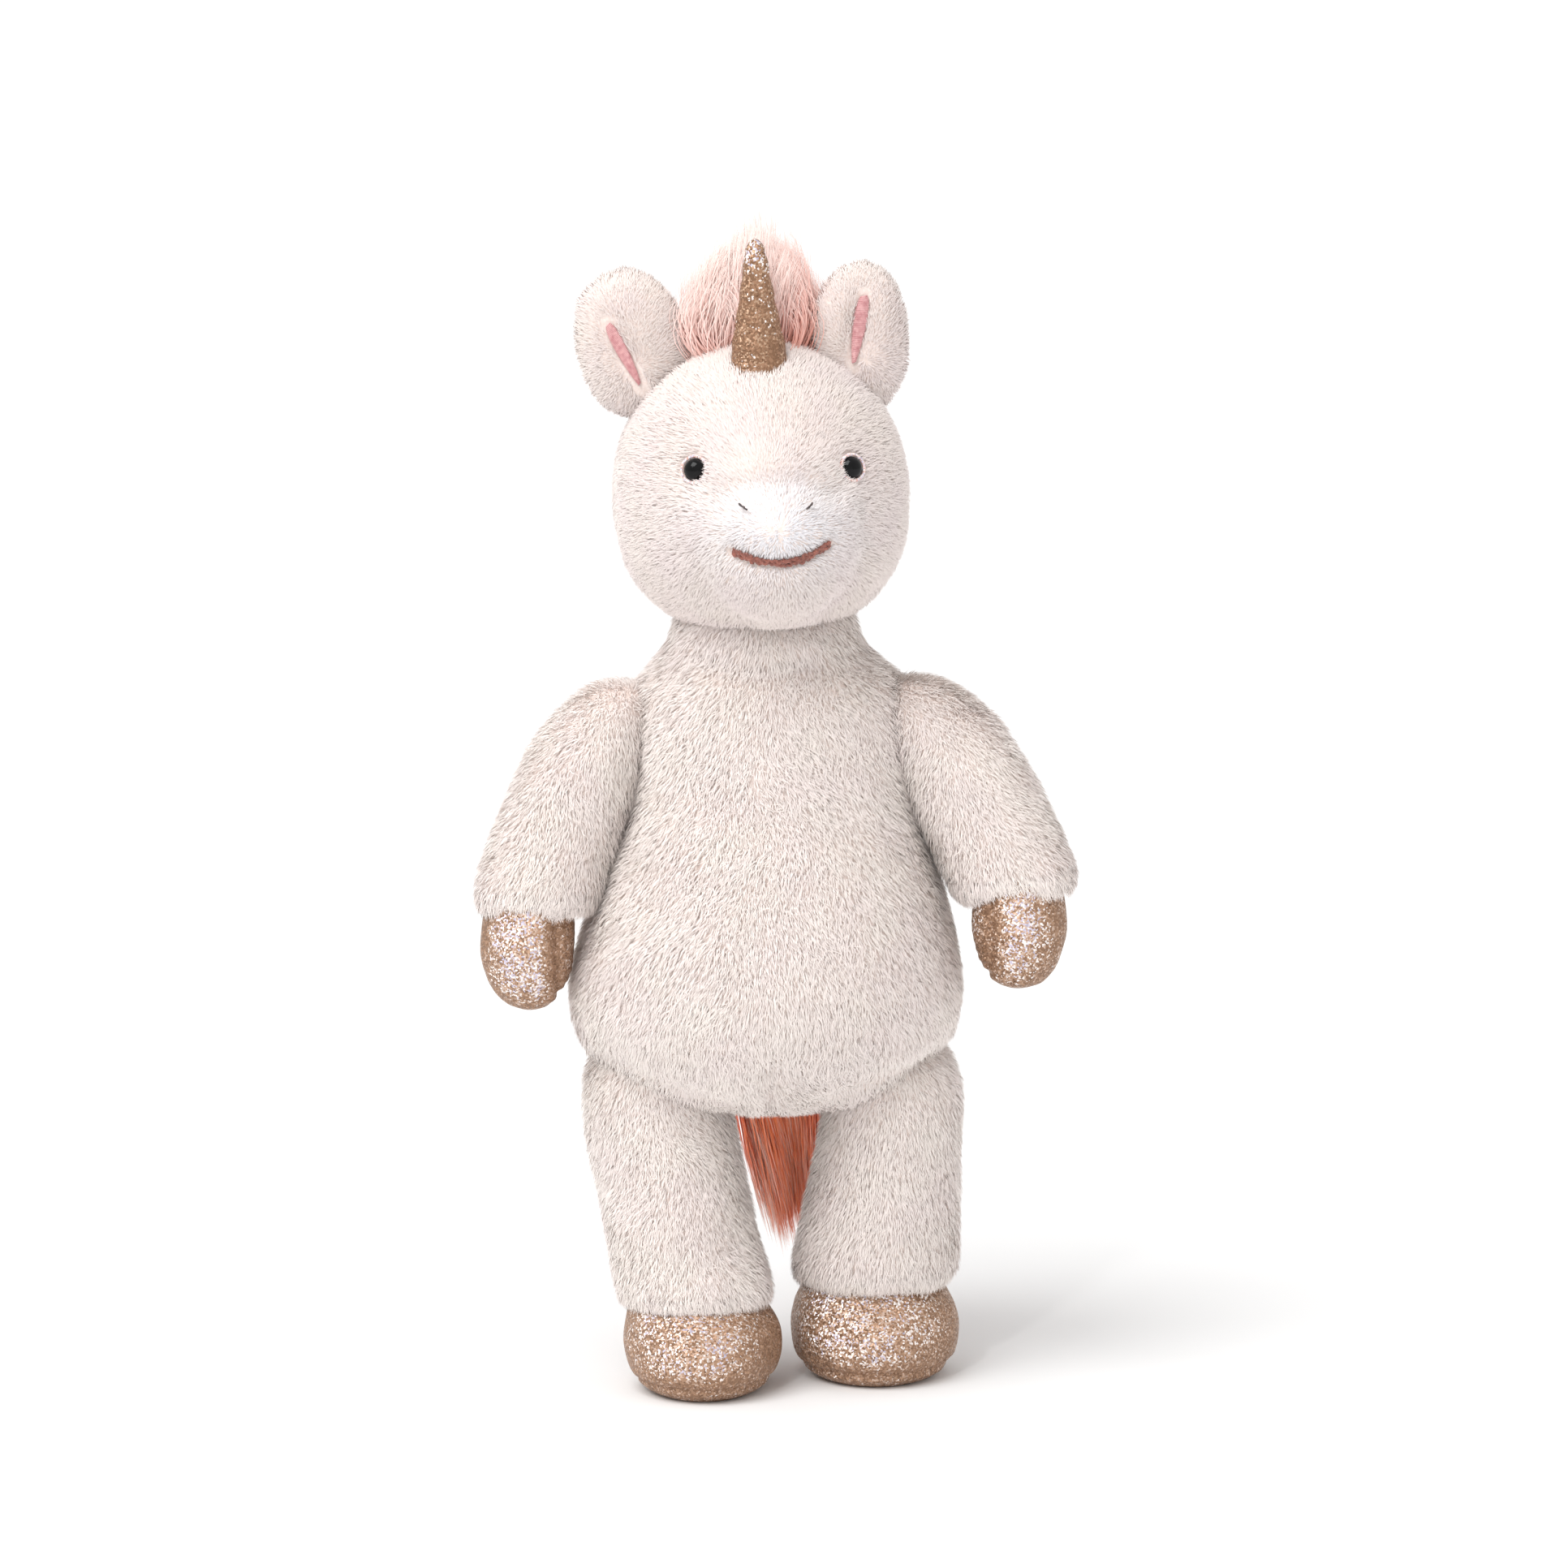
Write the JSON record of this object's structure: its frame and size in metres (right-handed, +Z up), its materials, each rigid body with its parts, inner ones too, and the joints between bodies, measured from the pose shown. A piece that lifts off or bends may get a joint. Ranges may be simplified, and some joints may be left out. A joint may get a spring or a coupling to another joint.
{
  "type": "plush unicorn",
  "caption": "Standing plush unicorn with stuffed limbs that swing, a head that nods and turns, soft ears, a horn, a mane tuft and a tail.",
  "frame": {"origin": "middle of the outline, on the surface that the soles rest on", "axes": "+Z up, the toy faces -Y, +X towards the toy's left"},
  "size_m": [0.1714, 0.1226, 0.341],
  "materials": {
    "fur": "short blush-white plush pile",
    "muzzle_fur": "short white plush pile",
    "stuffing": "polyester fibre filling",
    "hoof_glitter": "rose gold glitter-coated fabric",
    "horn_glitter": "rose gold glitter-coated fabric",
    "mane_hair": "long brushed blush pink pile",
    "tail_hair": "long brushed coral pile with pale tips",
    "ear_lining_thread": "pink satin stitch",
    "eye": "polished black",
    "eye_ring": "rose glitter",
    "washer": "moulded white",
    "mouth_thread": "rose-brown satin stitch",
    "nostril_thread": "dark thread",
    "insole_board": "plain pressed board",
    "pellet_bag": "plain woven bag of pellets"
  },
  "bodies": {
    "torso": {"torso_front_panel": "fur", "torso_back_panel": "fur", "seat_gusset": "fur", "torso_stuffing": "stuffing"},
    "neck": {"neck_stuffing": "stuffing"},
    "head": {"face_panel": "fur", "muzzle_panel": "muzzle_fur", "head_back_panel": "fur", "head_stuffing": "stuffing", "right_eye": "eye", "right_eye_ring": "eye_ring", "right_eye_washer": "washer", "right_nostril_stitch": "nostril_thread", "left_eye": "eye", "left_eye_ring": "eye_ring", "left_eye_washer": "washer", "left_nostril_stitch": "nostril_thread", "mouth_stitch": "mouth_thread", "horn_cover": "horn_glitter", "horn_stuffing": "stuffing", "mane_tuft": "mane_hair"},
    "tail": {"tail_tuft": "tail_hair"},
    "left_ear": {"left_ear_front_panel": "fur", "left_ear_back_panel": "fur", "left_ear_lining": "ear_lining_thread"},
    "left_arm": {"left_arm_sleeve": "fur", "left_arm_stuffing": "stuffing", "left_hand_hoof_outer_panel": "hoof_glitter", "left_hand_hoof_inner_panel": "hoof_glitter"},
    "left_leg": {"left_leg_sleeve": "fur", "left_leg_stuffing": "stuffing", "left_foot_hoof_upper": "hoof_glitter", "left_foot_sole": "hoof_glitter", "left_foot_insole_board": "insole_board", "left_foot_pellet_bag": "pellet_bag"},
    "right_ear": {"right_ear_front_panel": "fur", "right_ear_back_panel": "fur", "right_ear_lining": "ear_lining_thread"},
    "right_arm": {"right_arm_sleeve": "fur", "right_arm_stuffing": "stuffing", "right_hand_hoof_outer_panel": "hoof_glitter", "right_hand_hoof_inner_panel": "hoof_glitter"},
    "right_leg": {"right_leg_sleeve": "fur", "right_leg_stuffing": "stuffing", "right_foot_hoof_upper": "hoof_glitter", "right_foot_sole": "hoof_glitter", "right_foot_insole_board": "insole_board", "right_foot_pellet_bag": "pellet_bag"}
  },
  "joints": [
    {"name": "head_nod", "type": "hinge", "parent": "torso", "child": "neck", "pos_m": [-0.00416, -0.00352, 0.224], "axis": [1, 0, 0], "range_deg": [-12, 12], "stiffness_Nm_per_rad": 0.3},
    {"name": "head_turn", "type": "hinge", "parent": "neck", "child": "head", "pos_m": [-0.00416, -0.00352, 0.224], "axis": [0, 0, 1], "range_deg": [-30, 30], "stiffness_Nm_per_rad": 0.1},
    {"name": "left_ear_flop", "type": "hinge", "parent": "head", "child": "left_ear", "pos_m": [0.02184, -0.00352, 0.291], "axis": [0.6157, 0, -0.788], "range_deg": [-30, 30], "stiffness_Nm_per_rad": 0.02},
    {"name": "right_ear_flop", "type": "hinge", "parent": "head", "child": "right_ear", "pos_m": [-0.03516, -0.00352, 0.291], "axis": [0.6293, 0, 0.7771], "range_deg": [-30, 30], "stiffness_Nm_per_rad": 0.02},
    {"name": "left_arm_swing", "type": "hinge", "parent": "torso", "child": "left_arm", "pos_m": [0.04184, -0.00652, 0.194], "axis": [-0.9354, 0.1988, -0.2924], "range_deg": [-30, 90]},
    {"name": "right_arm_swing", "type": "hinge", "parent": "torso", "child": "right_arm", "pos_m": [-0.04816, -0.00652, 0.192], "axis": [-0.9354, -0.1988, 0.2924], "range_deg": [-30, 90]},
    {"name": "left_leg_swing", "type": "hinge", "parent": "torso", "child": "left_leg", "pos_m": [0.03184, -0.03552, 0.098], "axis": [-1, 0, 0], "range_deg": [-10, 80]},
    {"name": "right_leg_swing", "type": "hinge", "parent": "torso", "child": "right_leg", "pos_m": [-0.03466, -0.03552, 0.098], "axis": [-1, 0, 0], "range_deg": [-10, 80]},
    {"name": "tail_lift", "type": "hinge", "parent": "torso", "child": "tail", "pos_m": [-0.00116, 0.03948, 0.108], "axis": [1, 0, 0], "range_deg": [0, 60], "stiffness_Nm_per_rad": 0.01}
  ]
}
